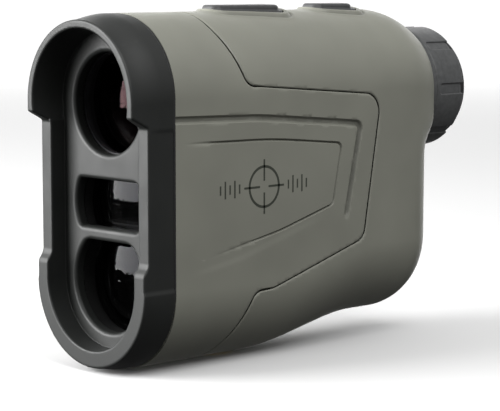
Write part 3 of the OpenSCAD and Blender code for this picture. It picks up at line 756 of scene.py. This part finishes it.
def rubber(name, colour, rough=0.62):
    """Soft rubber: matt, with a dusty fine pore and a little sheen."""
    m = Nodes(name)
    tone = m.blend_colours(m.spread(m.noise(900, 3), 0, 1), shade(colour, 0.85), shade(colour, 1.2))
    m.link(tone, m.shader.inputs["Base Color"])
    m.link(m.spread(m.noise(240, 3), rough - 0.06, rough + 0.08), m.shader.inputs["Roughness"])
    m.link(m.bump(m.noise(5200, 2), 0.4, 0.00003), m.shader.inputs["Normal"])
    m.set(Specular_IOR_Level=0.4, Sheen_Weight=0.08, Sheen_Roughness=0.5)
    return m.material


def metal(name, colour, rough, grain=1800):
    """Turned metal: fine tool lines and fingerprints in the gloss."""
    m = Nodes(name)
    stretch = m.add("ShaderNodeMapping")
    stretch.inputs["Scale"].default_value = (1, 0.12, 1)
    m.link(m.place, stretch.inputs["Vector"])
    lines = m.add("ShaderNodeTexNoise")
    lines.inputs["Scale"].default_value = grain
    lines.inputs["Detail"].default_value = 2
    m.link(stretch.outputs["Vector"], lines.inputs["Vector"])
    tone = m.blend_colours(m.spread(lines.outputs["Fac"], 0, 1), shade(colour, 0.88), colour)
    m.link(tone, m.shader.inputs["Base Color"])
    m.link(m.spread(m.noise(300, 3), rough - 0.06, rough + 0.1), m.shader.inputs["Roughness"])
    m.link(m.bump(lines.outputs["Fac"], 0.25, 0.00001), m.shader.inputs["Normal"])
    m.set(Metallic=1.0)
    return m.material


def glass(name, tint, coat, rough=0.02, index=1.15):
    """Lens glass with traces of dust. The coat's tint changes with the angle, and its low index stands
    for the anti-reflection coat, which takes most of the mirror image away."""
    m = Nodes(name)
    m.link(m.spread(m.noise(700, 4), rough * 0.5, rough * 2), m.shader.inputs["Roughness"])
    tone = m.blend_colours(m.spread(m.noise(60, 2), 0, 1), shade(tint, 0.9), tint)
    m.link(tone, m.shader.inputs["Base Color"])
    angle = m.add("ShaderNodeLayerWeight")
    ramp = m.add("ShaderNodeValToRGB")
    m.link(angle.outputs["Facing"], ramp.inputs["Fac"])
    ramp.color_ramp.elements[0].position, ramp.color_ramp.elements[1].position = coat[0][0], coat[-1][0]
    for place, colour in coat[1:-1]:
        ramp.color_ramp.elements.new(place)
    for element, (place, colour) in zip(ramp.color_ramp.elements, coat):
        element.color = (*colour, 1)
    m.link(ramp.outputs["Color"], m.shader.inputs["Specular Tint"])
    m.set(Transmission_Weight=1.0, IOR=index)
    return m.material


def board(name):
    """Circuit board: green mask over darker copper runs."""
    m = Nodes(name)
    cells = m.add("ShaderNodeTexVoronoi", feature="DISTANCE_TO_EDGE", distance="MANHATTAN")
    cells.inputs["Scale"].default_value = 420
    m.link(m.place, cells.inputs["Vector"])
    runs = m.spread(cells.outputs["Distance"], 1, 0, 0.02, 0.05)
    m.link(m.blend_colours(runs, (0.012, 0.09, 0.035), (0.03, 0.17, 0.07)), m.shader.inputs["Base Color"])
    m.link(m.spread(m.noise(500, 2), 0.32, 0.45), m.shader.inputs["Roughness"])
    m.link(m.bump(runs, 0.3, 0.00003), m.shader.inputs["Normal"])
    return m.material


SAGE = (0.225, 0.227, 0.192)
PRINT = (0.040, 0.045, 0.034)
DARK_GLASS = (0.1, 0.1, 0.1)
# Colours of a lens coat, from looking straight on to a slanting view
LENS_COAT = (
    (0.13, (0.1, 0.9, 0.55)),
    (0.19, (0.5, 0.6, 0.6)),
    (0.24, (0.45, 0.4, 0.45)),
    (0.3, (0.75, 0.05, 0.12)),
)
PALE_COAT = ((0, (0.9, 0.92, 1)), (1, (1, 1, 1)))
PRISM_COAT = ((0, (0.8, 0.9, 1)), (1, (1, 1, 1)))
materials = {
    "housing_plastic": plastic("housing_plastic", SAGE, 0.5, 3600, 0.00002, wear=1.25),
    "bezel_plastic": plastic("bezel_plastic", (0.0155, 0.0168, 0.0158), 0.5, 3000, 0.00002, 1.8, 0.4),
    "button_rubber": rubber("button_rubber", (0.047, 0.048, 0.049), 0.5),
    "black_rubber": rubber("black_rubber", (0.016, 0.016, 0.017), 0.68),
    "black_plastic": plastic("black_plastic", (0.012, 0.012, 0.012), 0.55, 2600, 0.00002, 1.5, 0.3),
    "coated_glass": glass("coated_glass", DARK_GLASS, PALE_COAT),
    "prism_glass": glass("prism_glass", (0.8, 0.84, 0.84), PRISM_COAT, 0.015, 1.3),
    "steel": metal("steel", (0.55, 0.55, 0.56), 0.3),
    "brass": metal("brass", (0.62, 0.45, 0.19), 0.32),
    "aluminium": plastic("aluminium", (0.02, 0.02, 0.022), 0.42, 2400, 0.00001, 1.5, 0.4),
    "circuit_board": board("circuit_board"),
    "chip_plastic": plastic("chip_plastic", (0.018, 0.018, 0.019), 0.4, 5200, 0.00001, 1.6),
    "flex_film": plastic("flex_film", (0.36, 0.16, 0.03), 0.35, 1800, 0.00001, 1.2),
    "battery_wrap": plastic("battery_wrap", (0.045, 0.075, 0.13), 0.3, 1200, 0.00001, 1.4),
}

objective_glass = glass("objective_glass", DARK_GLASS, LENS_COAT)

# CAD nodes keep their shape and take the finished materials of their slots
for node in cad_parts.values():
    for place in node.material_slots:
        slot_name = place.material.name.split(".")[0]
        if slot_name in materials:
            place.material = materials[slot_name]
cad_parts["objective_lens"].material_slots[0].material = objective_glass


def finish_piece(piece, body, slot_name, *replaced):
    """Gives a piece its slot's material, its body and the CAD nodes that it stands for."""
    piece.data.materials.clear()
    piece.data.materials.append(materials[slot_name])
    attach(piece, body)
    if replaced:
        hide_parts(*replaced)
    return piece


# ------------------------------------------------------------------ pieces

finish_piece(shell("front_shell", -1, []), "housing", "housing_plastic", "front_housing")
rear_openings = [
    (button_openings, (BUTTON_GAP, 0.55, 1.1, 1.3, 1.5, 1.75, 2.1, 2.7, 3.4)),
    (port_opening, (0.0, 0.25)),
    (lanyard_opening, (0.0, 0.3)),
    (tripod_opening, (0.0, 0.3)),
    (eyepiece_opening, (0.0,)),
]
rear = shell("rear_shell", 1, rear_openings)


def lanyard_cup(x, y, z):
    u, v = y - LANYARD_Y, z - LANYARD_Z
    outside = round_max(box_2d(u, v, 5.2, 5.2, 1.0), slab(x, -17.2, -10.2), 0.4)
    inside = np.maximum(box_2d(u, v, 3.5, 3.5, 1.2), slab(x, -22, -12))
    return np.maximum(outside, -inside)


def port_floor(x, y, z):
    plate = round_max(box_2d(x, z - PORT_Z, 8.4, 6.4, 0.8), slab(y, REAR_Y - 4.1, REAR_Y - 2.35), 0.2)
    slot = box_2d(x, z - PORT_Z, 4.7, 1.9, 1.8)
    return round_max(plate, -slot, 0.2)


def tripod_boss(x, y, z):
    r = np.hypot(x, y - TRIPOD_Y)
    return round_max(round_max(r - 6.2, slab(z, 0.78, 8.5), 0.3), 4.55 - r, 0.15)


add_to(
    rear,
    moulded("cup", lanyard_cup, (-18, 76, 14), (-9.5, 88, 26), 0.35),
    moulded("floor", port_floor, (-9, 91.5, 23), (9, 95.5, 37), 0.3),
    moulded("boss", tripod_boss, (-7, 31, 0), (7, 45, 9.5), 0.35),
)
finish_piece(rear, "housing", "housing_plastic", "rear_housing")

bezel = moulded("front_frame", bezel_shape, (-19.2, -0.6, -0.5), (19.2, 14.4, 78), 0.34)
finish_piece(bezel, "housing", "bezel_plastic", "front_bezel")

ring = moulded("focus_ring", ring_shape, (-15.4, 96, SIGHT_Z - 15.4), (15.4, 108.6, SIGHT_Z + 15.4), 0.27)
finish_piece(ring, "diopter_ring", "button_rubber", "diopter_ring")
# painted light: the ring has the buttons' rubber, given here as a paler copy that stands in for more
# light falling on it
ring.data.materials[0] = rubber("ring_rubber_painted_light", (0.075, 0.077, 0.078), 0.5)
cup = turned("eye_rim", SIGHT_Z, eyecup_profile())
finish_piece(cup, "diopter_ring", "black_rubber", "eyecup")

for node, spot in BUTTONS.items():
    start, length = spot[:2]
    low = (-7.2, start - 1.5, 70.3)
    high = (7.2, start + length + 1.5, 79)
    cap = moulded(node.replace("button", "cap"), button_shape(spot), low, high, 0.25)
    finish_piece(cap, node, "button_rubber", node)


def printed_mark(middle_y=37.3, middle_z=39.2):
    """Flat printed sighting mark on the side panel: a ring with a cross, between two rows of ticks."""
    outer, inner, steps = 4.7, 4.15, 72
    bar_start, bar_end, bar_half = 1.3, 6.0, 0.22
    tick_start, tick_pitch, tick_half = 7.4, 1.4, 0.2
    flat, faces = [], []

    def quad(corners):
        faces.append(tuple(range(len(flat), len(flat) + 4)))
        flat.extend(corners)

    for i in range(steps):
        a, b = (2 * math.pi * k / steps for k in (i, i + 1))
        corners = ((inner, a), (outer, a), (outer, b), (inner, b))
        quad([(r * math.cos(t), r * math.sin(t)) for r, t in corners])
    bar = ((bar_start, -bar_half), (bar_end, -bar_half), (bar_end, bar_half), (bar_start, bar_half))
    for c, s in ((1, 0), (0, 1), (-1, 0), (0, -1)):
        quad([(u * c - v * s, u * s + v * c) for u, v in bar])
    for side, i in product((-1, 1), range(5)):
        u, tall = side * (tick_start + tick_pitch * i), 1.0 + 0.9 * (i % 2)
        left, right = u - tick_half, u + tick_half
        quad([(left, -tall), (right, -tall), (right, tall), (left, tall)])
    bm = bmesh.new()
    verts = [bm.verts.new((BODY_R + 0.004, middle_y + u, middle_z + v)) for u, v in flat]
    for face in faces:
        bm.faces.new([verts[i] for i in face])
    raised = bmesh.ops.extrude_face_region(bm, geom=list(bm.faces))["geom"]
    for v in raised:
        if isinstance(v, bmesh.types.BMVert):
            v.co.x += 0.03
    bmesh.ops.remove_doubles(bm, verts=bm.verts, dist=0.001)
    bmesh.ops.recalc_face_normals(bm, faces=bm.faces)
    for v in bm.verts:
        v.co = to_scene(v.co)
    mesh = bpy.data.meshes.new("side_mark")
    bm.to_mesh(mesh)
    bm.free()
    piece = bpy.data.objects.new("side_mark", mesh)
    bpy.context.scene.collection.objects.link(piece)
    return piece


mark = finish_piece(printed_mark(), "housing", "bezel_plastic")
mark.data.materials[0] = plastic("print_ink", PRINT, 0.55, 3600, 0.00001, 1.1)

flap = moulded("port_flap", port_cover_shape, (-7.6, 93.5, 24.5), (7.2, 97.2, 35.5), 0.2)
finish_piece(flap, "port_cover", "black_rubber", "port_cover")

# ------------------------------------------------------------------ camera, floor and light


def look_from(name, data, place, target):
    """Puts a light in place and turns it to its target."""
    thing = bpy.data.objects.new(name, data)
    bpy.context.scene.collection.objects.link(thing)
    thing.location = place
    thing.rotation_euler = (Vector(target) - Vector(place)).to_track_quat("-Z", "Y").to_euler()
    return thing


camera = bpy.data.objects.new("camera", bpy.data.cameras.new("camera"))
bpy.context.scene.collection.objects.link(camera)
camera.location = (0.331239, -0.319046, 0.086073)
camera.rotation_euler = (math.radians(90 - 6.70), 0, math.radians(46.511))
camera.data.lens = 144
camera.data.sensor_width = 36
camera.data.clip_end = 60
bpy.context.scene.camera = camera


def make_floor(half=0.9):
    """Small pale floor. The surroundings are as bright, so its end doesn't show."""
    mesh = bpy.data.meshes.new("floor")
    corners = [(-half, -half, 0), (half, -half, 0), (half, half, 0), (-half, half, 0)]
    mesh.from_pydata(corners, [], [(0, 1, 2, 3)])
    floor = bpy.data.objects.new("floor", mesh)
    bpy.context.scene.collection.objects.link(floor)
    m = Nodes("floor")
    tone = m.blend_colours(m.noise(4, 2), (0.72, 0.72, 0.72), (0.74, 0.74, 0.74))
    m.link(tone, m.shader.inputs["Base Color"])
    m.set(Roughness=0.9, Specular_IOR_Level=0.0)
    mesh.materials.append(m.material)
    floor.visible_diffuse = floor.visible_glossy = False


make_floor()


def soft_light(name, place, size, radiance):
    """A softbox of even brightness, turned to the object."""
    data = bpy.data.lights.new(name, "AREA")
    data.shape = "RECTANGLE"
    data.size, data.size_y = size
    data.energy = math.pi * size[0] * size[1] * radiance
    return look_from(name, data, place, (0, 0, 0.04))


soft_light("front_box", (-0.4, -0.6, 0.22), (0.55, 0.5), 17)
soft_light("side_box", (0.33, -0.08, 0.45), (0.35, 0.35), 5)
soft_light("backdrop", (-0.95, 0.9, 0.15), (2.2, 1.2), 2).visible_camera = False

sun = bpy.data.lights.new("ceiling", "SUN")
sun.angle = math.radians(80)
sun.energy = 0.7
look_from("ceiling", sun, (-0.4, -0.5, 1.5), (0, 0, 0))

# Pale surroundings: bright to the camera, dimmer as a light, and dim below the horizon
world = bpy.data.worlds.new("studio")
bpy.context.scene.world = world
world.use_nodes = True
tree = world.node_tree
direction = tree.nodes.new("ShaderNodeTexCoord")
split = tree.nodes.new("ShaderNodeSeparateXYZ")
ramp = tree.nodes.new("ShaderNodeMapRange")
for socket, value in (("From Min", -0.08), ("From Max", 0.1), ("To Min", 0.08), ("To Max", 0.38)):
    ramp.inputs[socket].default_value = value
ray = tree.nodes.new("ShaderNodeLightPath")
choose = tree.nodes.new("ShaderNodeMix")
# sockets 2 and 3 are the strength as a light and the strength that the camera sees
choose.inputs[3].default_value = 1.05
tree.links.new(direction.outputs["Generated"], split.inputs["Vector"])
tree.links.new(split.outputs["Z"], ramp.inputs["Value"])
tree.links.new(ray.outputs["Is Camera Ray"], choose.inputs[0])
tree.links.new(ramp.outputs["Result"], choose.inputs[2])
tree.links.new(choose.outputs[0], tree.nodes["Background"].inputs["Strength"])
tree.nodes["Background"].inputs["Color"].default_value = (1, 1, 1, 1)
bpy.context.scene.view_settings.view_transform = "Standard"
